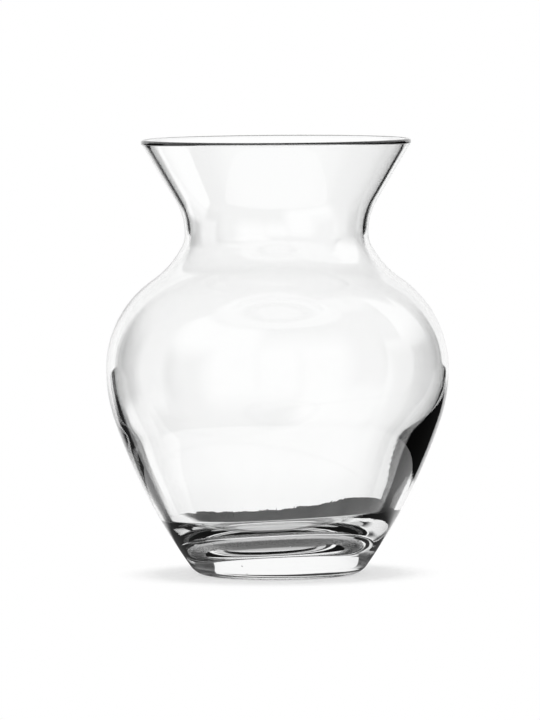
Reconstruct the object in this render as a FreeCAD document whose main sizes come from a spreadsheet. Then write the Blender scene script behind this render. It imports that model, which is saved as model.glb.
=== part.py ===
# Rose bowl vase of clear glass with a waisted neck and a flared mouth, in millimetres.
# It is one blown piece of glass. The origin is on its axis, in the plane that it stands on, and +Z is up.
import FreeCAD, Part
import math
import os
import Sketcher
from dataclasses import dataclass, replace
from FreeCAD import Vector

# Driving dimensions: name, value and what it measures
DIMENSIONS = (
    ("foot_radius", 27.9, "outer edge of the flat foot ring, where the rounded heel starts"),
    ("heel_round", 8.0, "radius of the heel between the foot ring and the wall"),
    ("taper_round", 222.0, "radius of the long curve from the heel up to the belly"),
    ("lower_belly_round", 63.8, "radius of the curve just under the widest place"),
    ("belly_radius", 66.9, "outside of the glass at its widest"),
    ("belly_height", 80.5, "height of the widest place above the foot"),
    ("shoulder_rise", 52.6, "height from the widest place to the throat"),
    ("shoulder_sweep", 36.2, "radius of the hollow curve between shoulder and neck"),
    ("neck_round_below", 10.1, "radius of the tight curve just under the throat"),
    ("neck_turn_drop", 4.65, "height of that tight curve"),
    ("throat_radius", 35.8, "outside of the glass at its narrowest"),
    ("neck_round_above", 25.6, "radius of the curve from the throat into the flare"),
    ("flare_rise", 36.9, "height from the throat to the top of the rim"),
    ("rim_radius", 52.7, "outside of the rim"),
    ("rim_wall", 2.4, "thickness of the glass at the round fire-polished rim"),
    ("neck_wall", 2.1, "thickness of the glass at the neck"),
    ("belly_wall", 2.5, "thickness of the glass at the belly"),
    ("corner_wall", 6.3, "thickness of the glass, level, at the corner low in the bowl"),
    ("floor_thickness", 13.0, "glass from the foot plane up to the floor of the bowl"),
    ("floor_radius", 16.0, "flat middle of the floor of the bowl"),
    ("floor_rise", 12.2, "height of the curve from the flat of the floor up to the corner of the bowl"),
    ("bowl_corner_round", 4.0, "radius of that corner"),
    ("bowl_lower_round", 49.0, "radius inside the glass just under the widest place"),
    ("punt_radius", 25.0, "edge of the hollow under the base, the inner edge of the foot ring"),
    ("punt_depth", 1.8, "height of that hollow on the axis"),
)

SHEET = "Dimensions"
START, END, CENTRE = 1, 2, 3
ORIGIN = (-1, START)
UP_AXIS = "V_Axis"
OUTWARDS = Vector(1, 0, 0)
QUARTER_TURN = math.pi / 2
HALF_TURN = math.pi
FULL_TURN_DEGREES = 360.0


@dataclass(frozen=True)
class Side:
    """One side of the glass: how far it lies inside the outer surface."""

    neck_inset: float
    belly_inset: float
    rim_offset: float


@dataclass(frozen=True)
class Curve:
    """One arc of the section: its centre, its radius and the angles where it starts and stops."""

    centre: Vector
    radius: float
    start: float
    stop: float

    def point(self, angle):
        """Return the place on the arc at an angle, counted from straight outwards."""
        return self.centre + Vector(math.cos(angle), math.sin(angle), 0) * self.radius

    def reversed(self):
        """Return the same arc walked the other way."""
        return Curve(self.centre, self.radius, self.stop, self.start)


def make_sheet(doc):
    """Write the driving dimensions to the spreadsheet and return them by name."""
    sheet = doc.addObject("Spreadsheet::Sheet", SHEET)
    for row, (alias, value, meaning) in enumerate(DIMENSIONS, start=1):
        sheet.set(f"A{row}", meaning)
        sheet.set(f"B{row}", str(value))
        sheet.setAlias(f"B{row}", alias)
    doc.recompute()
    return {alias: float(getattr(sheet, alias)) for alias, value, meaning in DIMENSIONS}


def outer_side(sizes):
    """Describe the outside of the glass."""
    return Side(neck_inset=0, belly_inset=0, rim_offset=sizes["rim_wall"] / 2)


def inner_side(sizes):
    """Describe the inside of the glass."""
    return Side(
        neck_inset=sizes["neck_wall"],
        belly_inset=sizes["belly_wall"],
        rim_offset=-sizes["rim_wall"] / 2,
    )


def bearing(start, finish):
    """Return the angle of the line from one point to another."""
    return math.atan2(finish.y - start.y, finish.x - start.x)


def widest_point(sizes, side):
    """Return the place where one side of the glass is widest."""
    return Vector(sizes["belly_radius"] - side.belly_inset, sizes["belly_height"], 0)


def circle_around(first, second, radius):
    """Find the centre of a circle that holds two smaller ones inside it and touches both on their outer side."""
    between = second.centre - first.centre
    to_first = radius - first.radius
    to_second = radius - second.radius
    along = (to_first ** 2 - to_second ** 2 + between.Length ** 2) / (2 * between.Length)
    aside = math.sqrt(to_first ** 2 - along ** 2)
    direction = between / between.Length
    towards_axis = Vector(direction.y, -direction.x, 0)
    return first.centre + direction * along + towards_axis * aside


def lower_outside(sizes):
    """Return the arcs of the outside by name, from the foot ring up to the belly."""
    belly_round = sizes["lower_belly_round"]
    belly_centre = widest_point(sizes, outer_side(sizes)) - OUTWARDS * belly_round
    heel_centre = Vector(sizes["foot_radius"], sizes["heel_round"], 0)
    belly = Curve(belly_centre, belly_round, -QUARTER_TURN, 0)
    heel = Curve(heel_centre, sizes["heel_round"], -QUARTER_TURN, 0)
    taper = circle_around(belly, heel, sizes["taper_round"])
    heel_stop = bearing(taper, heel_centre)
    taper_stop = bearing(taper, belly_centre)
    return {
        "heel": replace(heel, stop=heel_stop),
        "taper": Curve(taper, sizes["taper_round"], heel_stop, taper_stop),
        "lower_belly": replace(belly, start=taper_stop),
    }


def lower_inside(sizes, taper):
    """Return the arcs of the inside by name, from the flat floor of the bowl up to the belly."""
    rise = sizes["floor_rise"]
    edge_drop = taper.centre.y - sizes["floor_thickness"] - rise
    outside = taper.centre.x + math.sqrt(taper.radius ** 2 - edge_drop ** 2)
    width = outside - sizes["corner_wall"] - sizes["floor_radius"]
    floor_round = (width ** 2 + rise ** 2) / (2 * rise)
    floor_stop = 2 * math.atan(rise / width) - QUARTER_TURN
    floor_centre = Vector(sizes["floor_radius"], sizes["floor_thickness"] + floor_round, 0)
    floor_curve = Curve(floor_centre, floor_round, -QUARTER_TURN, floor_stop)

    corner_round = sizes["bowl_corner_round"]
    belly_round = sizes["bowl_lower_round"]
    edge = floor_curve.point(floor_stop)
    corner = edge + (floor_centre - edge) * (corner_round / floor_round)
    lower_belly = widest_point(sizes, inner_side(sizes)) - OUTWARDS * belly_round
    reach = corner - lower_belly
    lean = math.asin((belly_round - corner_round) / reach.Length) - math.atan2(reach.x, -reach.y)
    return {
        "floor_curve": floor_curve,
        "corner": Curve(corner, corner_round, floor_stop, -lean),
        "lower_belly": Curve(lower_belly, belly_round, -lean, 0),
    }


def rim_centre(sizes):
    """Return the middle of the round rim."""
    half_wall = sizes["rim_wall"] / 2
    top = sizes["belly_height"] + sizes["shoulder_rise"] + sizes["flare_rise"]
    return Vector(sizes["rim_radius"] - half_wall, top - half_wall, 0)


def flare_lean(neck, neck_round, rim, rim_offset):
    """Return how far the flare leans outwards: its line touches the neck curve and the round rim."""
    reach = neck - rim
    return math.atan2(-reach.y, reach.x) - math.acos((neck_round + rim_offset) / reach.Length)


def upper_belly_round(belly, sweep, sweep_round):
    """Return the radius of the curve that stands upright at the belly and touches the shoulder sweep."""
    beyond = sweep.x - belly.x
    over = sweep.y - belly.y
    return (beyond ** 2 + over ** 2 - sweep_round ** 2) / (2 * (sweep_round - beyond))


def upper_curves(sizes, side):
    """Return the arcs of one side of the glass by name, from the belly up to the flare."""
    belly = widest_point(sizes, side)
    throat = Vector(sizes["throat_radius"], sizes["belly_height"] + sizes["shoulder_rise"], 0)

    turn = math.asin(sizes["neck_turn_drop"] / sizes["neck_round_below"])
    neck_below = throat + OUTWARDS * sizes["neck_round_below"]
    to_sweep = sizes["shoulder_sweep"] - sizes["neck_round_below"]
    sweep = neck_below + Vector(math.cos(turn), math.sin(turn), 0) * to_sweep
    sweep_round = sizes["shoulder_sweep"] + side.neck_inset
    upper_round = upper_belly_round(belly, sweep, sweep_round)
    upper_belly = belly - OUTWARDS * upper_round
    shoulder = bearing(upper_belly, sweep)

    neck_above = throat + OUTWARDS * sizes["neck_round_above"]
    above_round = sizes["neck_round_above"] + side.neck_inset
    below_round = sizes["neck_round_below"] + side.neck_inset
    lean = flare_lean(neck_above, above_round, rim_centre(sizes), side.rim_offset)
    return {
        "upper_belly": Curve(upper_belly, upper_round, 0, shoulder),
        "sweep": Curve(sweep, sweep_round, HALF_TURN + shoulder, HALF_TURN + turn),
        "neck_below": Curve(neck_below, below_round, HALF_TURN + turn, HALF_TURN),
        "neck_above": Curve(neck_above, above_round, HALF_TURN, HALF_TURN - lean),
    }


class Outline:
    """A closed path of lines and arcs in a sketch, drawn piece by piece and then tied to the sheet."""

    def __init__(self, body, name):
        self.sketch = body.newObject("Sketcher::SketchObject", name)
        plane = next(item for item in body.Origin.OriginFeatures if item.Role == "XZ_Plane")
        self.sketch.AttachmentSupport = [(plane, "")]
        self.sketch.MapMode = "FlatFace"
        self.path = []

    def arc(self, curve):
        """Draw an arc and return its number with its first and last ends along the path."""
        circle = Part.Circle(curve.centre, Vector(0, 0, 1), curve.radius)
        low, high = sorted((curve.start, curve.stop))
        number = self.sketch.addGeometry(Part.ArcOfCircle(circle, low, high), False)
        ends = (START, END) if curve.stop > curve.start else (END, START)
        self.path.append((number, *ends))
        return self.path[-1]

    def line(self, start, stop):
        """Draw a straight line and return its number with its two ends."""
        number = self.sketch.addGeometry(Part.LineSegment(start, stop), False)
        self.path.append((number, START, END))
        return self.path[-1]

    def arcs(self, curves):
        """Draw arcs one after another and return them by name."""
        return {name: self.arc(curve) for name, curve in curves.items()}

    def arcs_back(self, curves):
        """Draw arcs from the last to the first, each walked the other way, and return them by name."""
        return {name: self.arc(curves[name].reversed()) for name in reversed(curves)}

    def guide(self, point):
        """Add a point that helps to size the path and return its place."""
        return self.sketch.addGeometry(Part.Point(point), True), START

    def tie(self, kind, *places):
        """Add a constraint that has no size."""
        self.sketch.addConstraint(Sketcher.Constraint(kind, *places))

    def size(self, name, formula, kind, *places):
        """Add a constraint whose size is a formula of the driving dimensions."""
        value = self.sketch.evalExpression(formula)
        index = self.sketch.addConstraint(Sketcher.Constraint(kind, *places, float(value)))
        self.sketch.renameConstraint(index, name)
        self.sketch.setExpression(f"Constraints.{name}", formula)

    def place(self, name, point, across, up):
        """Fix a point at a distance out from the axis and a height over the foot."""
        self.size(f"{name}_out", across, "DistanceX", *ORIGIN, *point)
        self.size(f"{name}_up", up, "DistanceY", *ORIGIN, *point)


def cell(name):
    """Return the sheet's cell of that name, as formulas write it."""
    return f"{SHEET}.{name}"


def tie_joins(outline, corners):
    """Make each piece of the path run smoothly into the next, except at the corners named."""
    following = outline.path[1:] + outline.path[:1]
    for (number, first, last), (after, after_first, after_last) in zip(outline.path, following):
        kind = "Coincident" if number in corners else "Tangent"
        outline.tie(kind, number, last, after, after_first)


def size_outside(outline, arcs, belly_out, belly_up, throat_up):
    """Size the outside of the glass."""
    outline.size("heel_round", cell("heel_round"), "Radius", arcs["heel"][0])
    outline.size("taper_round", cell("taper_round"), "Radius", arcs["taper"][0])
    outline.size("lower_belly_round", cell("lower_belly_round"), "Radius", arcs["lower_belly"][0])
    outline.size("sweep_round", cell("shoulder_sweep"), "Radius", arcs["sweep"][0])
    outline.size("neck_round_below", cell("neck_round_below"), "Radius", arcs["neck_below"][0])
    outline.size("neck_round_above", cell("neck_round_above"), "Radius", arcs["neck_above"][0])
    belly = (arcs["lower_belly"][0], arcs["lower_belly"][2])
    outline.place("belly", belly, belly_out, belly_up)
    outline.tie("Horizontal", arcs["lower_belly"][0], CENTRE, *belly)
    throat = (arcs["neck_above"][0], arcs["neck_above"][1])
    outline.place("throat", throat, cell("throat_radius"), throat_up)
    outline.tie("Horizontal", arcs["neck_above"][0], CENTRE, *throat)
    turn = (arcs["sweep"][0], arcs["sweep"][2])
    outline.size("neck_turn_up", f"{throat_up} - {cell('neck_turn_drop')}", "DistanceY", *ORIGIN, *turn)


def size_inside(outline, outside, inside, belly_out, belly_up):
    """Size the inside of the glass, from the belly up, from the outside and the walls."""
    for name in ("sweep", "neck_below", "neck_above"):
        outline.tie("Coincident", outside[name][0], CENTRE, inside[name][0], CENTRE)
    neck_round = f"{cell('neck_round_above')} + {cell('neck_wall')}"
    outline.size("inner_neck_round", neck_round, "Radius", inside["neck_above"][0])
    inner_belly = (inside["lower_belly"][0], inside["lower_belly"][1])
    outline.place("inner_belly", inner_belly, f"{belly_out} - {cell('belly_wall')}", belly_up)
    outline.tie("Horizontal", inside["lower_belly"][0], CENTRE, *inner_belly)


def size_bowl(outline, outside, inside, guide):
    """Size the inside of the glass below the belly."""
    outline.size("bowl_lower_round", cell("bowl_lower_round"), "Radius", inside["lower_belly"][0])
    outline.size("bowl_corner_round", cell("bowl_corner_round"), "Radius", inside["corner"][0])
    floor_edge = (inside["floor_curve"][0], inside["floor_curve"][2])
    outline.place("floor_edge", floor_edge, cell("floor_radius"), cell("floor_thickness"))
    curve_end = (inside["floor_curve"][0], inside["floor_curve"][1])
    rise = f"{cell('floor_thickness')} + {cell('floor_rise')}"
    outline.size("floor_curve_up", rise, "DistanceY", *ORIGIN, *curve_end)
    outline.tie("PointOnObject", *guide, outside["taper"][0])
    outline.tie("Horizontal", *curve_end, *guide)
    outline.size("corner_wall", cell("corner_wall"), "DistanceX", *curve_end, *guide)


def draw_section(body, sizes):
    """Draw half of the glass, cut through the axis, with a flat base."""
    outline = Outline(body, "glass_section")
    outer_low = lower_outside(sizes)
    outer_high = upper_curves(sizes, outer_side(sizes))
    inner_low = lower_inside(sizes, outer_low["taper"])
    inner_high = upper_curves(sizes, inner_side(sizes))
    outer_flare = outer_high["neck_above"]
    inner_flare = inner_high["neck_above"]
    rim_start = outer_flare.stop - HALF_TURN
    rim = Curve(rim_centre(sizes), sizes["rim_wall"] / 2, rim_start, inner_flare.stop)
    foot_edge = Vector(sizes["foot_radius"], 0, 0)
    floor_middle = Vector(0, sizes["floor_thickness"], 0)
    floor_edge = floor_middle + Vector(sizes["floor_radius"], 0, 0)
    corner = inner_low["corner"]
    inner_belly = inner_low["lower_belly"]

    base = outline.line(Vector(0, 0, 0), foot_edge)
    outside = outline.arcs(outer_low) | outline.arcs(outer_high)
    outline.line(outer_flare.point(outer_flare.stop), rim.point(rim.start))
    rim_arc = outline.arc(rim)
    outline.line(rim.point(rim.stop), inner_flare.point(inner_flare.stop))
    inside = outline.arcs_back(inner_high)
    inside["lower_belly"] = outline.arc(inner_belly.reversed())
    outline.line(inner_belly.point(inner_belly.start), corner.point(corner.stop))
    inside["corner"] = outline.arc(corner.reversed())
    inside["floor_curve"] = outline.arc(inner_low["floor_curve"].reversed())
    floor = outline.line(floor_edge, floor_middle)
    axis = outline.line(floor_middle, Vector(0, 0, 0))
    guide = outline.guide(corner.point(corner.start) + OUTWARDS * sizes["corner_wall"])

    tie_joins(outline, corners=(floor[0], axis[0]))
    outline.tie("Coincident", base[0], START, *ORIGIN)
    outline.tie("Horizontal", base[0])
    outline.tie("Horizontal", floor[0])
    outline.tie("Vertical", axis[0])
    outline.size("foot_out", cell("foot_radius"), "DistanceX", *ORIGIN, base[0], END)

    belly_up = cell("belly_height")
    throat_up = f"{belly_up} + {cell('shoulder_rise')}"
    rim_up = f"{throat_up} + {cell('flare_rise')} - {cell('rim_wall')} / 2"
    size_outside(outline, outside, cell("belly_radius"), belly_up, throat_up)
    size_inside(outline, outside, inside, cell("belly_radius"), belly_up)
    size_bowl(outline, outside, inside, guide)
    outline.size("rim_round", f"{cell('rim_wall')} / 2", "Radius", rim_arc[0])
    rim_out = f"{cell('rim_radius')} - {cell('rim_wall')} / 2"
    outline.place("rim", (rim_arc[0], CENTRE), rim_out, rim_up)
    return outline.sketch


def draw_punt(body, sizes):
    """Draw half of the shallow hollow under the base."""
    outline = Outline(body, "punt_section")
    reach = sizes["punt_radius"]
    depth = sizes["punt_depth"]
    dome_round = (reach ** 2 + depth ** 2) / (2 * depth)
    dome_edge = math.acos(reach / dome_round)
    dome = Curve(Vector(0, depth - dome_round, 0), dome_round, dome_edge, QUARTER_TURN)
    top = Vector(0, depth, 0)
    edge = Vector(reach, 0, 0)

    bottom = outline.line(Vector(0, 0, 0), edge)
    arc = outline.arc(dome)
    axis = outline.line(top, Vector(0, 0, 0))
    tie_joins(outline, corners=(bottom[0], arc[0], axis[0]))
    outline.tie("Coincident", bottom[0], START, *ORIGIN)
    outline.tie("Horizontal", bottom[0])
    outline.tie("Vertical", axis[0])
    outline.tie("PointOnObject", arc[0], CENTRE, -2)
    outline.size("punt_out", cell("punt_radius"), "DistanceX", *ORIGIN, bottom[0], END)
    outline.size("punt_up", cell("punt_depth"), "DistanceY", *ORIGIN, axis[0], START)
    return outline.sketch


def turn_about_axis(body, kind, name, sketch):
    """Add a full turn of the sketch about the upright axis, as glass or as a cut."""
    feature = body.newObject(kind, name)
    feature.Profile = (sketch, [""])
    feature.ReferenceAxis = (sketch, [UP_AXIS])
    feature.Angle = FULL_TURN_DEGREES
    sketch.Visibility = False
    return feature


def make_glass_vase(doc, sizes):
    """Build the vase: the blown glass, then the hollow pressed up under its base."""
    body = doc.addObject("PartDesign::Body", "glass_vase")
    body.Label = "glass_vase"
    body.Placement = FreeCAD.Placement()
    section = draw_section(body, sizes)
    blown_glass = turn_about_axis(body, "PartDesign::Revolution", "blown_glass", section)
    doc.recompute()
    punt = turn_about_axis(body, "PartDesign::Groove", "punt", draw_punt(body, sizes))
    doc.recompute()
    if not punt.Shape.Volume < blown_glass.Shape.Volume:
        raise RuntimeError("the punt cut no glass away")
    return body


def check(doc, bodies):
    """Stop if anything in the document failed or a piece has no sound shape."""
    failed = [item.Name for item in doc.Objects if {"Invalid", "Error"} & set(item.State)]
    if failed:
        raise RuntimeError(f"failed objects: {failed}")
    for body in bodies:
        if body.Shape.isNull() or not body.Shape.isValid():
            raise RuntimeError(f"{body.Label} has no sound shape")


def main():
    """Build the document and write each piece."""
    doc = FreeCAD.newDocument("rose_bowl_vase")
    sizes = make_sheet(doc)
    bodies = [make_glass_vase(doc, sizes)]
    doc.recompute()
    check(doc, bodies)
    os.makedirs("parts", exist_ok=True)
    for body in bodies:
        body.Shape.exportStep(f"parts/{body.Label}.step")
        box = body.Shape.optimalBoundingBox()
        print(f"{body.Label}: volume {body.Shape.Volume:.0f} mm3, height {box.ZLength:.2f}, across {box.XLength:.2f}")


main()
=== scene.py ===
"""Rose bowl vase: one blown piece of clear glass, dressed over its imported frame.

The glass is drawn as a section of arcs, turned about the upright axis and then given the small faults of
blown glass: a floor that slants, a wall that wanders, ripples and seeds. Lengths are in metres.
"""

import logging
import math
from dataclasses import dataclass, field
from enum import Enum

import bmesh
import bpy
from mathutils import Matrix, Vector, noise


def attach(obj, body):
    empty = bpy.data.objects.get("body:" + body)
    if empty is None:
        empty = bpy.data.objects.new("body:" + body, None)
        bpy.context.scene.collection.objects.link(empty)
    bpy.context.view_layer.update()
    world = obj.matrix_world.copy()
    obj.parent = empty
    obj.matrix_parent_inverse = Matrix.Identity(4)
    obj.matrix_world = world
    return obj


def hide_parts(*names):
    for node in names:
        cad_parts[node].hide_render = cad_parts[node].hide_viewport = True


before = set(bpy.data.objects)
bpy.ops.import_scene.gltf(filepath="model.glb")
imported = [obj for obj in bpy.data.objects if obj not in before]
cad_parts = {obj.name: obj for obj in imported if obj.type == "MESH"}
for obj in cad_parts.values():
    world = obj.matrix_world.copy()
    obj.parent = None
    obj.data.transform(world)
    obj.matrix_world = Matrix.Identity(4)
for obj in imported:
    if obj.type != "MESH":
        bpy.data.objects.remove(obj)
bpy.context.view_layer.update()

MM = 0.001
QUARTER_TURN = math.pi / 2
HALF_TURN = math.pi
FULL_TURN = math.tau
UPWARDS = Vector((0, 0, 1))
OUTWARDS = Vector((1, 0, 0))
TOWARDS_VIEWER = Vector((0, -1, 0))
ORIGIN = Vector((0, 0, 0))
NO_SHIFT = Vector((0, 0, 0))
WHITE = (1.0, 1.0, 1.0, 1.0)
LOG = logging.getLogger("rose_bowl_vase")


class Surface(Enum):
    """The two surfaces of the glass, as a share that says how far a point belongs to the inside."""

    OUTSIDE = 0.0
    INSIDE = 1.0


class Slot(Enum):
    """Material slots of the glass mesh."""

    POLISHED = 0
    STIPPLED = 1


def place(out: float, up: float) -> Vector:
    """Return a point of the section plane.

    Args:
        out: Distance from the axis.
        up: Height over the foot.

    Returns:
        The point, with no depth.
    """
    return Vector((out, 0, up))


def smooth_share(value: float, low: float, high: float) -> float:
    """Return 0 below low, 1 above high and a smooth rise between them.

    Args:
        value: The value to judge.
        low: Where the rise starts.
        high: Where it ends.

    Returns:
        A share from 0 to 1.
    """
    share = min(max((value - low) / (high - low), 0.0), 1.0)
    return share * share * (3 - 2 * share)


@dataclass(frozen=True)
class Arc:
    """One arc of the section: its centre, its radius and the angles where it starts and stops."""

    centre: Vector
    radius: float
    start: float
    stop: float

    def point(self, angle: float) -> Vector:
        """Return the place on the arc at an angle, counted from straight outwards.

        Args:
            angle: The angle in radians.

        Returns:
            A point of the section plane.
        """
        return self.centre + place(math.cos(angle), math.sin(angle)) * self.radius

    def backwards(self) -> "Arc":
        """Return the same arc walked the other way."""
        return Arc(self.centre, self.radius, self.stop, self.start)


def bearing(start: Vector, finish: Vector) -> float:
    """Return the angle of the line from one point of the section to another.

    Args:
        start: Where the line starts.
        finish: Where it ends.

    Returns:
        The angle in radians.
    """
    return math.atan2(finish.z - start.z, finish.x - start.x)


@dataclass(frozen=True)
class Section:
    """Half of the glass, cut through the axis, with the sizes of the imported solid."""

    foot_radius: float = 27.9 * MM
    heel_round: float = 8.0 * MM
    taper_round: float = 222.0 * MM
    lower_belly_round: float = 63.8 * MM
    belly_radius: float = 66.9 * MM
    belly_height: float = 80.5 * MM
    shoulder_rise: float = 52.6 * MM
    shoulder_sweep: float = 36.2 * MM
    neck_round_below: float = 10.1 * MM
    neck_turn_drop: float = 4.65 * MM
    throat_radius: float = 35.8 * MM
    neck_round_above: float = 25.6 * MM
    flare_rise: float = 36.9 * MM
    rim_radius: float = 52.7 * MM
    rim_wall: float = 2.4 * MM
    neck_wall: float = 2.1 * MM
    belly_wall: float = 2.5 * MM
    corner_wall: float = 6.3 * MM
    floor_thickness: float = 13.0 * MM
    floor_radius: float = 16.0 * MM
    floor_rise: float = 12.2 * MM
    bowl_corner_round: float = 4.0 * MM
    bowl_lower_round: float = 49.0 * MM
    punt_radius: float = 25.0 * MM
    punt_depth: float = 1.8 * MM

    def punt(self) -> Arc:
        """Return the hollow under the base.

        Returns:
            One arc, from the axis out to the foot ring.
        """
        dome_round = (self.punt_radius ** 2 + self.punt_depth ** 2) / (2 * self.punt_depth)
        edge = math.acos(self.punt_radius / dome_round)
        return Arc(place(0, self.punt_depth - dome_round), dome_round, QUARTER_TURN, edge)

    def lower_outside(self) -> list[Arc]:
        """Return the outside below the belly.

        Returns:
            The heel, the long taper and the curve under the belly, from the foot up.
        """
        belly = place(self.belly_radius - self.lower_belly_round, self.belly_height)
        heel = place(self.foot_radius, self.heel_round)
        between = heel - belly
        to_belly = self.taper_round - self.lower_belly_round
        to_heel = self.taper_round - self.heel_round
        along = (to_belly ** 2 - to_heel ** 2 + between.length_squared) / (2 * between.length)
        aside = math.sqrt(to_belly ** 2 - along ** 2)
        direction = between.normalized()
        taper = belly + direction * along + place(direction.z, -direction.x) * aside
        heel_stop = bearing(taper, heel)
        taper_stop = bearing(taper, belly)
        return [
            Arc(heel, self.heel_round, -QUARTER_TURN, heel_stop),
            Arc(taper, self.taper_round, heel_stop, taper_stop),
            Arc(belly, self.lower_belly_round, taper_stop, 0),
        ]

    def lower_inside(self) -> list[Arc]:
        """Return the inside below the belly.

        Returns:
            The bowl's dished floor, its corner and the curve under the belly, from the floor up.
        """
        taper = self.lower_outside()[1]
        edge_drop = taper.centre.z - self.floor_thickness - self.floor_rise
        outside = taper.centre.x + math.sqrt(taper.radius ** 2 - edge_drop ** 2)
        width = outside - self.corner_wall - self.floor_radius
        floor_round = (width ** 2 + self.floor_rise ** 2) / (2 * self.floor_rise)
        floor_stop = 2 * math.atan(self.floor_rise / width) - QUARTER_TURN
        floor_centre = place(self.floor_radius, self.floor_thickness + floor_round)
        floor = Arc(floor_centre, floor_round, -QUARTER_TURN, floor_stop)
        edge = floor.point(floor_stop)
        corner = edge + (floor.centre - edge) * (self.bowl_corner_round / floor_round)
        belly = place(self.belly_radius - self.belly_wall - self.bowl_lower_round, self.belly_height)
        reach = corner - belly
        tilt = math.asin((self.bowl_lower_round - self.bowl_corner_round) / reach.length)
        lean = tilt - math.atan2(reach.x, -reach.z)
        return [
            floor,
            Arc(corner, self.bowl_corner_round, floor_stop, -lean),
            Arc(belly, self.bowl_lower_round, -lean, 0),
        ]

    def upper(self, surface: Surface) -> list[Arc]:
        """Return the curves from the belly up to the flare.

        Args:
            surface: Which surface of the glass.

        Returns:
            The upper belly, the shoulder sweep and the two curves of the neck.
        """
        share = surface.value
        belly = place(self.belly_radius - share * self.belly_wall, self.belly_height)
        throat = place(self.throat_radius, self.belly_height + self.shoulder_rise)
        inset = share * self.neck_wall
        turn = math.asin(self.neck_turn_drop / self.neck_round_below)
        below = throat + OUTWARDS * self.neck_round_below
        apart = self.shoulder_sweep - self.neck_round_below
        sweep = below + place(math.cos(turn), math.sin(turn)) * apart
        sweep_round = self.shoulder_sweep + inset
        beyond = sweep - belly
        upper_round = (beyond.length_squared - sweep_round ** 2) / (2 * (sweep_round - beyond.x))
        upper_belly = belly - OUTWARDS * upper_round
        shoulder = bearing(upper_belly, sweep)
        above = throat + OUTWARDS * self.neck_round_above
        return [
            Arc(upper_belly, upper_round, 0, shoulder),
            Arc(sweep, sweep_round, HALF_TURN + shoulder, HALF_TURN + turn),
            Arc(below, self.neck_round_below + inset, HALF_TURN + turn, HALF_TURN),
            Arc(above, self.neck_round_above + inset, HALF_TURN, HALF_TURN - self.flare_lean(surface)),
        ]

    def flare_lean(self, surface: Surface) -> float:
        """Return how far the flare leans outwards.

        Args:
            surface: Which surface of the glass.

        Returns:
            The lean from upright, in radians.
        """
        neck = place(self.throat_radius + self.neck_round_above, self.belly_height + self.shoulder_rise)
        neck_round = self.neck_round_above + surface.value * self.neck_wall
        offset = self.rim_wall * (0.5 - surface.value)
        reach = neck - self.rim_centre()
        return math.atan2(-reach.z, reach.x) - math.acos((neck_round + offset) / reach.length)

    def rim_centre(self) -> Vector:
        """Return the middle of the round rim."""
        top = self.belly_height + self.shoulder_rise + self.flare_rise
        return place(self.rim_radius - self.rim_wall / 2, top - self.rim_wall / 2)

    def rim(self) -> Arc:
        """Return the round of the rim.

        Returns:
            One arc, from the outside over the top to the inside.
        """
        start = -self.flare_lean(Surface.OUTSIDE)
        stop = HALF_TURN - self.flare_lean(Surface.INSIDE)
        return Arc(self.rim_centre(), self.rim_wall / 2, start, stop)


class Outline:
    """A chain of edges in the section plane, drawn one arc or line at a time."""

    def __init__(
        self, mesh: bmesh.types.BMesh, start: Vector, step_angle: float, step_length: float
    ) -> None:
        """Start the chain.

        Args:
            mesh: The mesh that takes the edges.
            start: The first point.
            step_angle: The most that an edge may turn, in radians.
            step_length: The longest edge.
        """
        self.mesh = mesh
        self.side = mesh.verts.layers.float.new("side")
        self.tip = mesh.verts.new(start)
        self.step_angle = step_angle
        self.step_length = step_length

    def line(self, stop: Vector, surface: Surface) -> None:
        """Run straight on to a point.

        Args:
            stop: Where the line ends.
            surface: Which surface of the glass it belongs to.
        """
        start = self.tip.co.copy()
        steps = max(1, math.ceil((stop - start).length / self.step_length))
        for number in range(1, steps + 1):
            self.tip = bmesh.ops.extrude_vert_indiv(self.mesh, verts=[self.tip])["verts"][0]
            self.tip.co = start.lerp(stop, number / steps)
            self.tip[self.side] = surface.value

    def arc(self, arc: Arc, surface: Surface) -> None:
        """Turn the last point about the arc's centre.

        Args:
            arc: The arc to follow. It starts where the chain ends.
            surface: Which surface of the glass it belongs to.
        """
        turn = arc.stop - arc.start
        steps = math.ceil(max(abs(turn) / self.step_angle, abs(turn) * arc.radius / self.step_length))
        self.tip[self.side] = surface.value
        made = bmesh.ops.spin(
            self.mesh, geom=[self.tip], cent=arc.centre, axis=TOWARDS_VIEWER, dvec=NO_SHIFT,
            angle=turn, space=Matrix.Identity(4), steps=steps, use_merge=False, use_normal_flip=False,
            use_duplicate=False,
        )
        self.tip = next(item for item in made["geom_last"] if isinstance(item, bmesh.types.BMVert))


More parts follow.
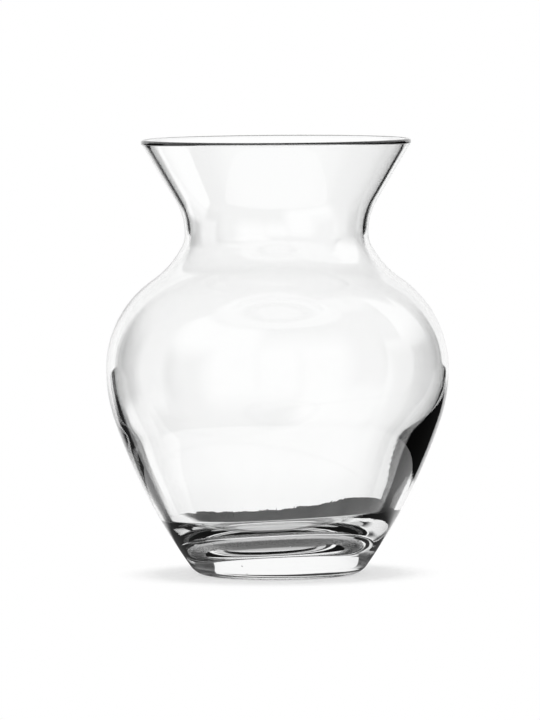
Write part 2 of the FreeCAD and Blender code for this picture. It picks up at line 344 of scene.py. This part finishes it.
class NodeTree:
    """A short way to add and join the nodes of a material or a world."""

    def __init__(self, tree: bpy.types.NodeTree) -> None:
        """Start with an empty tree.

        Args:
            tree: The tree to fill.
        """
        self.tree = tree
        tree.nodes.clear()

    def add(self, kind: str, **sockets: object) -> bpy.types.Node:
        """Add a node and set or join its inputs.

        Args:
            kind: The node's type, without its leading words for shader trees.
            sockets: Inputs by name, with a low line for each space. A socket is joined and a value is set.

        Returns:
            The new node.
        """
        node = self.tree.nodes.new(f"ShaderNode{kind}")
        for name, value in sockets.items():
            self.feed(node.inputs[name.replace("_", " ")], value)
        return node

    def feed(self, socket: bpy.types.NodeSocket, value: object) -> None:
        """Join or set one input.

        Args:
            socket: The input.
            value: An output socket to join or a plain value to set.
        """
        if isinstance(value, bpy.types.NodeSocket):
            self.tree.links.new(value, socket)
        else:
            socket.default_value = value

    def math(self, operation: str, *values: object) -> bpy.types.NodeSocket:
        """Add a Math node.

        Args:
            operation: What it does.
            values: Its inputs in order, sockets or numbers.

        Returns:
            Its result.
        """
        node = self.tree.nodes.new("ShaderNodeMath")
        node.operation = operation
        for socket, value in zip(node.inputs, values):
            self.feed(socket, value)
        return node.outputs[0]

    def rise(self, value: bpy.types.NodeSocket, low: float, high: float) -> bpy.types.NodeSocket:
        """Add a smooth rise from 0 at low to 1 at high, or a fall where low is above high.

        Args:
            value: The value to judge.
            low: Where the result is 0.
            high: Where the result is 1.

        Returns:
            A share from 0 to 1.
        """
        start, stop, first, last = (low, high, 0.0, 1.0) if low < high else (high, low, 1.0, 0.0)
        node = self.tree.nodes.new("ShaderNodeMapRange")
        node.interpolation_type = "SMOOTHSTEP"
        self.feed(node.inputs["Value"], value)
        node.inputs["From Min"].default_value = start
        node.inputs["From Max"].default_value = stop
        node.inputs["To Min"].default_value = first
        node.inputs["To Max"].default_value = last
        return node.outputs["Result"]

    def mix(
        self, share: bpy.types.NodeSocket, first: bpy.types.NodeSocket, second: bpy.types.NodeSocket
    ) -> bpy.types.NodeSocket:
        """Add a mix of two shaders.

        Args:
            share: How much of the second shader shows.
            first: The first shader.
            second: The second shader.

        Returns:
            The mixed shader.
        """
        node = self.tree.nodes.new("ShaderNodeMixShader")
        for socket, value in zip(node.inputs, (share, first, second)):
            self.feed(socket, value)
        return node.outputs["Shader"]

    def output(self, kind: str, surface: bpy.types.NodeSocket) -> None:
        """Add the output node.

        Args:
            kind: OutputMaterial or OutputWorld.
            surface: The finished shader.
        """
        node = self.tree.nodes.new(f"ShaderNode{kind}")
        self.tree.links.new(surface, node.inputs["Surface"])


@dataclass(frozen=True)
class ClearGlass:
    """Fire-polished clear glass with the slow waves of blowing and the chill wrinkles of the mould.

    Scales count the waves in a metre. The wrinkles and the ripples cover a belt of the lower wall. A
    pair of numbers says where a share is nothing and where it is full.
    """

    name: str = "clear_glass"
    tint: tuple[float, float, float, float] = (0.995, 0.997, 0.996, 1.0)
    ior: float = 1.52
    wave_scale: float = 38.0
    wave_roughness: float = 0.4
    wave_depth: float = 0.014 * MM
    wrinkle_scale: float = 420.0
    wrinkle_depth: float = 0.0015 * MM
    wrinkle_bend: float = 9.0
    wrinkle_patch: tuple[float, float] = (0.5, 0.62)
    ripple_scale: float = 1100.0
    ripple_depth: float = 0.0006 * MM
    belt_low: tuple[float, float] = (9.6 * MM, 16.0 * MM)
    belt_high: tuple[float, float] = (62.0 * MM, 43.4 * MM)
    haze: float = 0.012
    haze_patch: tuple[float, float] = (0.5, 0.8)

    def material(self) -> bpy.types.Material:
        """Build the finish.

        Returns:
            The material.
        """
        made = bpy.data.materials.new(self.name)
        made.use_nodes = True
        nodes = NodeTree(made.node_tree)
        here = nodes.add("TexCoord").outputs["Object"]
        height = nodes.add("SeparateXYZ", Vector=here).outputs["Z"]
        relief = self.relief(nodes, here, height)
        smear = nodes.add("TexNoise", Vector=here, Scale=self.wave_scale, Detail=3.0).outputs["Fac"]
        roughness = nodes.math("MULTIPLY", nodes.rise(smear, *self.haze_patch), self.haze)
        glass = nodes.add(
            "BsdfPrincipled", Base_Color=self.tint, IOR=self.ior, Transmission_Weight=1.0,
            Roughness=roughness, Normal=relief,
        )
        nodes.output("OutputMaterial", glass.outputs["BSDF"])
        return made

    def relief(
        self, nodes: NodeTree, here: bpy.types.NodeSocket, height: bpy.types.NodeSocket
    ) -> bpy.types.NodeSocket:
        """Add the waves, the wrinkles and the ripples, one bump on another.

        Args:
            nodes: The tree to add to.
            here: The place on the piece.
            height: Its height over the foot.

        Returns:
            The bent normal.
        """
        waves = nodes.add(
            "TexNoise", Vector=here, Scale=self.wave_scale, Detail=1.0, Roughness=self.wave_roughness
        )
        slow = nodes.add("Bump", Height=waves.outputs["Fac"], Distance=self.wave_depth, Strength=1.0)
        sweep = nodes.add("TexNoise", Vector=here, Scale=self.wave_scale, Detail=2.0).outputs["Fac"]
        straight = nodes.math("MULTIPLY", height, self.wrinkle_scale)
        bent = nodes.math("ADD", straight, nodes.math("MULTIPLY", sweep, self.wrinkle_bend))
        rings = nodes.math("SINE", nodes.math("MULTIPLY", bent, FULL_TURN))
        over_base = nodes.rise(height, *self.belt_low)
        under_belly = nodes.rise(height, *self.belt_high)
        belt = nodes.math("MULTIPLY", over_base, under_belly)
        patches = nodes.rise(sweep, *self.wrinkle_patch)
        wrinkles = nodes.math("MULTIPLY", belt, nodes.math("MULTIPLY", rings, patches))
        fine = nodes.add(
            "Bump", Height=wrinkles, Distance=self.wrinkle_depth, Strength=1.0,
            Normal=slow.outputs["Normal"],
        )
        ripples = nodes.add("TexNoise", Vector=here, Scale=self.ripple_scale, Detail=1.0).outputs["Fac"]
        ripples = nodes.math("MULTIPLY", ripples, belt)
        grain = nodes.add(
            "Bump", Height=ripples, Distance=self.ripple_depth, Strength=1.0,
            Normal=fine.outputs["Normal"],
        )
        return grain.outputs["Normal"]


@dataclass(frozen=True)
class StippledGlass:
    """The foot ring's stipple, which keeps it from sticking to the cooling belt.

    Each dot is a small pit. The roughness is smooth in its middle and rises by rough between the dots.
    """

    name: str = "stippled_glass"
    tint: tuple[float, float, float, float] = (0.995, 0.997, 0.996, 1.0)
    ior: float = 1.52
    dot_scale: float = 900.0
    dot_depth: float = 0.12 * MM
    dot_scatter: float = 0.7
    dot_edge: tuple[float, float] = (0.2, 0.6)
    smooth: float = 0.18
    rough: float = 0.25

    def material(self) -> bpy.types.Material:
        """Build the finish.

        Returns:
            The material.
        """
        made = bpy.data.materials.new(self.name)
        made.use_nodes = True
        nodes = NodeTree(made.node_tree)
        here = nodes.add("TexCoord").outputs["Object"]
        cells = nodes.add("TexVoronoi", Vector=here, Scale=self.dot_scale, Randomness=self.dot_scatter)
        dots = cells.outputs["Distance"]
        bump = nodes.add("Bump", Height=dots, Distance=self.dot_depth, Strength=1.0)
        roughness = nodes.math("MULTIPLY_ADD", nodes.rise(dots, *self.dot_edge), self.rough, self.smooth)
        glass = nodes.add(
            "BsdfPrincipled", Base_Color=self.tint, IOR=self.ior, Transmission_Weight=1.0,
            Roughness=roughness, Normal=bump.outputs["Normal"],
        )
        nodes.output("OutputMaterial", glass.outputs["BSDF"])
        return made


@dataclass(frozen=True)
class Seed:
    """A small bubble caught in the glass: where it is and how large."""

    centre: Vector
    radius: float


def default_seeds() -> tuple[Seed, ...]:
    """Return the bubbles that show in the base and in the lower wall."""
    return (
        Seed(Vector((-13.2, -26.0, 7.2)) * MM, 0.32 * MM),
        Seed(Vector((-11.9, -27.5, 3.6)) * MM, 0.24 * MM),
        Seed(Vector((4.0, -30.0, 15.6)) * MM, 0.22 * MM),
        Seed(Vector((17.0, 21.0, 8.4)) * MM, 0.20 * MM),
    )


@dataclass
class BlownGlass:
    """The whole vase: its turned section, the faults of blowing and the two finishes.

    The slant moves the inside alone. It is full low down and gone just above the belly. The shift moves
    the inside at the belly. A fade is two shares of the shoulder's rise: where a fault starts to fade
    and where it is gone. The stipple ends where the heel has turned up by ring_heel_turn.
    """

    section: Section = field(default_factory=Section)
    seeds: tuple[Seed, ...] = field(default_factory=default_seeds)
    steps_round: int = 256
    step_angle: float = math.radians(3.0)
    step_length: float = 2.6 * MM
    floor_slant: float = math.radians(3.1)
    slant_full_below: float = 26.0 * MM
    slant_none_above: float = 84.0 * MM
    belly_shift: float = 0.55 * MM
    shift_fade: tuple[float, float] = (0.3, 0.8)
    wander: float = 0.05 * MM
    wander_length: float = 34.0 * MM
    wander_fade: tuple[float, float] = (1.0, 1.5)
    ring_heel_turn: float = math.radians(20)
    merge_distance: float = 0.01 * MM
    seed_subdivisions: int = 3

    def build(self) -> bpy.types.Object:
        """Make the piece and dress it.

        Returns:
            The finished object.
        """
        mesh = bmesh.new()
        self.draw_section(mesh)
        self.turn(mesh)
        self.bend_inside(mesh)
        self.add_seeds(mesh)
        data = bpy.data.meshes.new("vase_glass")
        mesh.to_mesh(data)
        mesh.free()
        data.materials.append(ClearGlass().material())
        data.materials.append(StippledGlass().material())
        piece = bpy.data.objects.new("vase_glass", data)
        bpy.context.scene.collection.objects.link(piece)
        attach(piece, "root")
        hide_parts("glass_vase")
        return piece

    def draw_section(self, mesh: bmesh.types.BMesh) -> None:
        """Draw the section from the middle of the punt, up the outside, over the rim and down the inside.

        Args:
            mesh: The mesh that takes the edges.
        """
        cut = self.section
        punt = cut.punt()
        rim = cut.rim()
        inner_upper = cut.upper(Surface.INSIDE)
        floor, corner, inner_belly = cut.lower_inside()
        outline = Outline(mesh, punt.point(punt.start), self.step_angle, self.step_length)
        outline.arc(punt, Surface.OUTSIDE)
        outline.line(place(cut.foot_radius, 0), Surface.OUTSIDE)
        for arc in cut.lower_outside() + cut.upper(Surface.OUTSIDE):
            outline.arc(arc, Surface.OUTSIDE)
        outline.line(rim.point(rim.start), Surface.OUTSIDE)
        outline.arc(rim, Surface.OUTSIDE)
        outline.line(inner_upper[-1].point(inner_upper[-1].stop), Surface.INSIDE)
        for arc in reversed(inner_upper):
            outline.arc(arc.backwards(), Surface.INSIDE)
        outline.arc(inner_belly.backwards(), Surface.INSIDE)
        outline.line(corner.point(corner.stop), Surface.INSIDE)
        outline.arc(corner.backwards(), Surface.INSIDE)
        outline.arc(floor.backwards(), Surface.INSIDE)
        outline.line(place(0, cut.floor_thickness), Surface.INSIDE)

    def turn(self, mesh: bmesh.types.BMesh) -> None:
        """Turn the section about the upright axis and close its seam and poles.

        Args:
            mesh: The mesh that holds the section.
        """
        bmesh.ops.spin(
            mesh, geom=mesh.verts[:] + mesh.edges[:], cent=ORIGIN, axis=UPWARDS, dvec=NO_SHIFT,
            angle=FULL_TURN, space=Matrix.Identity(4), steps=self.steps_round, use_merge=True,
            use_normal_flip=False, use_duplicate=False,
        )
        bmesh.ops.remove_doubles(mesh, verts=mesh.verts, dist=self.merge_distance)
        bmesh.ops.recalc_face_normals(mesh, faces=mesh.faces)
        ring_inner = self.section.punt_radius - self.step_length / 2
        ring_outer = self.section.foot_radius + self.section.heel_round * math.sin(self.ring_heel_turn)
        for face in mesh.faces:
            face.smooth = True
            middle = face.calc_center_median()
            out = math.hypot(middle.x, middle.y)
            on_ring = middle.z < self.section.punt_depth / 2 and ring_inner < out < ring_outer
            face.material_index = (Slot.STIPPLED if on_ring else Slot.POLISHED).value

    def bend_inside(self, mesh: bmesh.types.BMesh) -> None:
        """Slant the floor of the bowl, shift its belly and let the inner wall wander.

        Args:
            mesh: The turned glass.
        """
        side = mesh.verts.layers.float["side"]
        belly = self.section.belly_height
        rise = self.section.shoulder_rise
        for vert in mesh.verts:
            share = vert[side]
            if share == 0:
                continue
            height = vert.co.z
            low = 1 - smooth_share(height, self.slant_full_below, self.slant_none_above)
            middle = 1 - smooth_share(abs(height - belly), *(rise * part for part in self.shift_fade))
            below_rim = 1 - smooth_share(height, *(belly + rise * part for part in self.wander_fade))
            wave = noise.noise(vert.co / self.wander_length) * self.wander * below_rim
            flat = Vector((vert.co.x, vert.co.y, 0))
            vert.co += flat.normalized() * wave * share
            vert.co.z += vert.co.x * math.tan(self.floor_slant) * low * share
            vert.co.x += self.belly_shift * middle * share

    def add_seeds(self, mesh: bmesh.types.BMesh) -> None:
        """Add the bubbles as small hollows inside the glass.

        Args:
            mesh: The turned glass.
        """
        for seed in self.seeds:
            made = bmesh.ops.create_icosphere(
                mesh, subdivisions=self.seed_subdivisions, radius=seed.radius,
                matrix=Matrix.Translation(seed.centre),
            )
            faces = list({face for vert in made["verts"] for face in vert.link_faces})
            bmesh.ops.reverse_faces(mesh, faces=faces)
            for face in faces:
                face.smooth = True


@dataclass(frozen=True)
class PaleFloor:
    """A matt white table top, and what the thick base shows of it.

    The camera sees white with a soft shadow. Only to rays that have passed through the glass, the floor
    glows with painted light and shade: a painted lit middle, a painted shadow as a dark belt under the
    foot, a painted lit ring round it and a painted dark gap behind, which ends in a fringe. Mirrored in
    the glass it shows a painted shadow, dark near the foot and white farther out. Reaches are distances
    from the axis, lights and painted shadows are brightnesses and the gap's sides are azimuths in degrees.
    """

    name: str = "pale_floor"
    colour: tuple[float, float, float, float] = (0.97, 0.97, 0.97, 1.0)
    shadow_reach: float = 30.0 * MM
    shadow_end: float = 66.0 * MM
    shadow_share: float = 0.55
    # Painted light and painted shadow, seen only through the glass: a painted lit middle, a painted shadow
    # under the foot, a painted lit ring and a painted dark gap with a ragged fringe.
    middle_reach: float = 17.0 * MM
    middle_light: float = 0.5
    foot_reach: float = 27.5 * MM
    painted_foot_shadow: float = 0.12
    ring_reach: float = 48.0 * MM
    ring_light: float = 0.65
    gap_reach: float = 141.0 * MM
    gap_light: float = 0.01
    gap_left: float = -26.0
    gap_right: float = 70.0
    gap_soft: float = 6.0
    fringe_scale: float = 130.0
    fringe: float = 0.1
    edge: float = 2.0 * MM
    # Painted shadow in reflections: to rays mirrored in the glass the floor is dark near the foot and
    # white farther out.
    mirrored_reach: float = 66.0 * MM
    mirrored_end: float = 100.0 * MM
    painted_mirror_shadow: float = 0.12
    grain_scale: float = 600.0
    grain_depth: float = 0.02 * MM
    grain_strength: float = 0.4

    def material(self) -> bpy.types.Material:
        """Build the finish.

        Returns:
            The material.
        """
        made = bpy.data.materials.new(self.name)
        made.use_nodes = True
        nodes = NodeTree(made.node_tree)
        here = nodes.add("TexCoord").outputs["Object"]
        reach = nodes.add("VectorMath", Vector=here)
        reach.operation = "LENGTH"
        out = reach.outputs["Value"]
        rays = nodes.add("LightPath").outputs
        grain = nodes.add("TexNoise", Vector=here, Scale=self.grain_scale, Detail=4.0).outputs["Fac"]
        bump = nodes.add("Bump", Height=grain, Distance=self.grain_depth, Strength=self.grain_strength)
        matt = nodes.add("BsdfDiffuse", Color=self.colour, Normal=bump.outputs["Normal"]).outputs["BSDF"]
        white = nodes.add("Emission", Color=WHITE, Strength=1.0).outputs["Emission"]
        lit = nodes.rise(out, self.shadow_reach, self.shadow_end)
        lit = nodes.math("MAXIMUM", lit, 1 - self.shadow_share)
        plain = nodes.mix(nodes.math("MULTIPLY", lit, rays["Is Camera Ray"]), matt, white)
        # To rays mirrored in the glass the floor glows with a painted shadow: dark near the foot, white
        # beyond.
        mirrored = nodes.rise(out, self.mirrored_reach, self.mirrored_end)
        mirrored = nodes.math("MAXIMUM", mirrored, self.painted_mirror_shadow)
        painted_reflection = nodes.add("Emission", Color=mirrored, Strength=1.0).outputs["Emission"]
        plain = nodes.mix(rays["Is Glossy Ray"], plain, painted_reflection)
        seen = self.through_glass(nodes, here, out)
        nodes.output("OutputMaterial", nodes.mix(rays["Is Transmission Ray"], plain, seen))
        return made

    def through_glass(
        self, nodes: NodeTree, here: bpy.types.NodeSocket, out: bpy.types.NodeSocket
    ) -> bpy.types.NodeSocket:
        """Add what the glass shows of the floor: painted light and painted shadow, glowing on it.

        Args:
            nodes: The tree to add to.
            here: The place on the floor.
            out: Its distance from the axis.

        Returns:
            The shader.
        """
        way = nodes.add("SeparateXYZ", Vector=here).outputs
        azimuth = nodes.math("DEGREES", nodes.math("ARCTAN2", way["X"], way["Y"]))
        outwards = nodes.add("VectorMath", Vector=here)
        outwards.operation = "NORMALIZE"
        # The ragged fringe at the far edge of the painted dark gap.
        teeth = nodes.add(
            "TexNoise", Vector=outwards.outputs["Vector"], Scale=self.fringe_scale, Detail=1.0
        )
        stretch = nodes.math("MULTIPLY_ADD", teeth.outputs["Fac"], self.fringe, 1 - self.fringe / 2)
        out = nodes.math("MULTIPLY", out, stretch)
        # The painted dark gap behind the vase, between gap_left and gap_right.
        middle = (self.gap_left + self.gap_right) / 2
        half = (self.gap_right - self.gap_left) / 2
        aside = nodes.math("ABSOLUTE", nodes.math("SUBTRACT", azimuth, middle))
        behind = nodes.rise(aside, half, half - self.gap_soft)
        gap = nodes.math("MULTIPLY", behind, nodes.rise(out, self.gap_reach, self.gap_reach - self.edge))
        # A painted lit ring round the foot, with a painted shadow under the foot taken out of it.
        near = nodes.rise(out, self.ring_reach + self.edge, self.ring_reach)
        under = nodes.rise(out, self.foot_reach + self.edge, self.foot_reach)
        ring_light = nodes.math("MULTIPLY", near, self.ring_light)
        light = nodes.math("MAXIMUM", ring_light, self.gap_light)
        painted_shadow_depth = nodes.math("MULTIPLY", under, self.ring_light - self.painted_foot_shadow)
        light = nodes.math("SUBTRACT", light, painted_shadow_depth)
        # A painted lit middle under the punt.
        middle_share = nodes.rise(out, self.middle_reach + self.edge, self.middle_reach - self.edge)
        light = nodes.math("MAXIMUM", light, nodes.math("MULTIPLY", middle_share, self.middle_light))
        # Inside the painted lit ring and in the painted gap the floor glows with this painted light and
        # painted shadow; elsewhere it lets the rays through.
        painted_floor_glow = nodes.add("Emission", Color=light, Strength=1.0).outputs["Emission"]
        clear = nodes.add("BsdfTransparent").outputs["BSDF"]
        return nodes.mix(nodes.math("MAXIMUM", near, gap), clear, painted_floor_glow)


@dataclass(frozen=True)
class LightWindow:
    """A bright part of the surround, as angles in degrees: azimuth from straight behind, and height.

    Low down, from the pinch's start to where it is full, each side moves in by the pinch.
    """

    left: float
    right: float
    bottom: float
    top: float
    soft_side: float
    soft_end: float
    pinch: float = 0.0
    pinch_start: float = -1.0
    pinch_full: float = -4.5

    def share(
        self, nodes: NodeTree, azimuth: bpy.types.NodeSocket, elevation: bpy.types.NodeSocket
    ) -> bpy.types.NodeSocket:
        """Add the nodes that tell how bright the window is in a direction.

        Args:
            nodes: The world's nodes.
            azimuth: The direction's azimuth in degrees.
            elevation: Its height in degrees.

        Returns:
            A share from 0 to 1.
        """
        middle = (self.left + self.right) / 2
        half = (self.right - self.left) / 2
        turned = nodes.math("WRAP", nodes.math("SUBTRACT", azimuth, middle), 180.0, -180.0)
        aside = nodes.math("ABSOLUTE", turned)
        pinched = nodes.rise(elevation, self.pinch_start, self.pinch_full)
        aside = nodes.math("ADD", aside, nodes.math("MULTIPLY", pinched, self.pinch))
        across = nodes.rise(aside, half, half - self.soft_side)
        over_bottom = nodes.rise(elevation, self.bottom, self.bottom + self.soft_end)
        under_top = nodes.rise(elevation, self.top, self.top - self.soft_end)
        return nodes.math("MULTIPLY", across, nodes.math("MULTIPLY", over_bottom, under_top))


def default_windows() -> tuple[LightWindow, ...]:
    """Return the white screen behind the vase, high and low, and the windows at its other sides."""
    return (
        LightWindow(left=-38.2, right=33.6, bottom=-14, top=84, soft_side=0.6, soft_end=5, pinch=12.4),
        LightWindow(left=-14.5, right=21.2, bottom=-44, top=-5, soft_side=0.6, soft_end=5),
        LightWindow(left=-78, right=-37, bottom=-60, top=-12, soft_side=3, soft_end=6),
        LightWindow(left=-98, right=-66, bottom=-27, top=84, soft_side=4, soft_end=10),
        LightWindow(left=88, right=178, bottom=-60, top=84, soft_side=20, soft_end=20),
        LightWindow(left=150, right=243, bottom=-40, top=84, soft_side=22, soft_end=30),
    )


@dataclass
class Studio:
    """The surround, the floor and the camera.

    The camera and the floor see an even white. The glass sees windows of light with dark gaps between
    them, light from straight below and, as a dome, from above. Edges are heights in degrees.
    """

    windows: tuple[LightWindow, ...] = field(default_factory=default_windows)
    under_light: float = 0.6
    under_top: float = -48.0
    under_full: float = -58.0
    dome_bottom: float = 6.0
    dome_full: float = 30.0
    dark: float = 0.02
    floor_light: float = 1.0
    floor_radius: float = 146.0 * MM
    floor_sides: int = 128
    camera_distance: float = 3.15
    camera_elevation: float = math.radians(3.3)
    camera_roll: float = math.radians(-0.40)
    aim: Vector = field(default_factory=lambda: Vector((-2.9, 0, 83.7)) * MM)
    lens: float = 403.5
    sensor_width: float = 36.0
    nearest: float = 0.05
    farthest: float = 50.0

    def build(self) -> None:
        """Make the surround, the floor and the camera."""
        self.make_world()
        self.make_floor()
        self.make_camera()
        bpy.context.scene.view_settings.view_transform = "Standard"

    def make_world(self) -> None:
        """Make the surround: white to the camera, and windows of light in the dark to the glass."""
        world = bpy.data.worlds.new("light_tent")
        world.use_nodes = True
        bpy.context.scene.world = world
        nodes = NodeTree(world.node_tree)
        way = nodes.add("SeparateXYZ", Vector=nodes.add("TexCoord").outputs["Generated"]).outputs
        azimuth = nodes.math("DEGREES", nodes.math("ARCTAN2", way["X"], way["Y"]))
        elevation = nodes.math("DEGREES", nodes.math("ARCSINE", way["Z"]))
        shares = [window.share(nodes, azimuth, elevation) for window in self.windows]
        under = nodes.rise(elevation, self.under_top, self.under_full)
        light = nodes.math("MULTIPLY", under, self.under_light)
        light = nodes.math("MAXIMUM", light, nodes.rise(elevation, self.dome_bottom, self.dome_full))
        for share in shares:
            light = nodes.math("MAXIMUM", light, share)
        light = nodes.math("MAXIMUM", light, self.dark)
        rays = nodes.add("LightPath").outputs
        plain = nodes.math("MULTIPLY", rays["Is Diffuse Ray"], self.floor_light)
        plain = nodes.math("MAXIMUM", plain, rays["Is Camera Ray"])
        back = nodes.add("Background", Color=nodes.math("MAXIMUM", light, plain))
        nodes.output("OutputWorld", back.outputs["Background"])

    def make_floor(self) -> None:
        """Make the round table top that the vase stands on."""
        mesh = bmesh.new()
        bmesh.ops.create_circle(mesh, cap_ends=True, segments=self.floor_sides, radius=self.floor_radius)
        data = bpy.data.meshes.new("floor")
        mesh.to_mesh(data)
        mesh.free()
        data.materials.append(PaleFloor().material())
        floor = bpy.data.objects.new("floor", data)
        bpy.context.scene.collection.objects.link(floor)

    def make_camera(self) -> None:
        """Make the camera at the photograph's viewing angle."""
        data = bpy.data.cameras.new("camera")
        data.lens = self.lens
        data.sensor_width = self.sensor_width
        data.clip_start = self.nearest
        data.clip_end = self.farthest
        camera = bpy.data.objects.new("camera", data)
        bpy.context.scene.collection.objects.link(camera)
        back = Vector((0, -math.cos(self.camera_elevation), math.sin(self.camera_elevation)))
        turn = (-back).to_track_quat("-Z", "Y").to_matrix().to_4x4()
        roll = Matrix.Rotation(self.camera_roll, 4, "Z")
        camera.matrix_world = Matrix.Translation(self.aim + back * self.camera_distance) @ turn @ roll
        bpy.context.scene.camera = camera


def main() -> None:
    """Build the studio and the vase and report each piece."""
    logging.basicConfig(level=logging.INFO, format="%(name)s: %(message)s")
    Studio().build()
    LOG.info("studio ready")
    glass = BlownGlass().build()
    LOG.info("%s: %d faces", glass.name, len(glass.data.polygons))


if __name__ == "__main__":
    main()
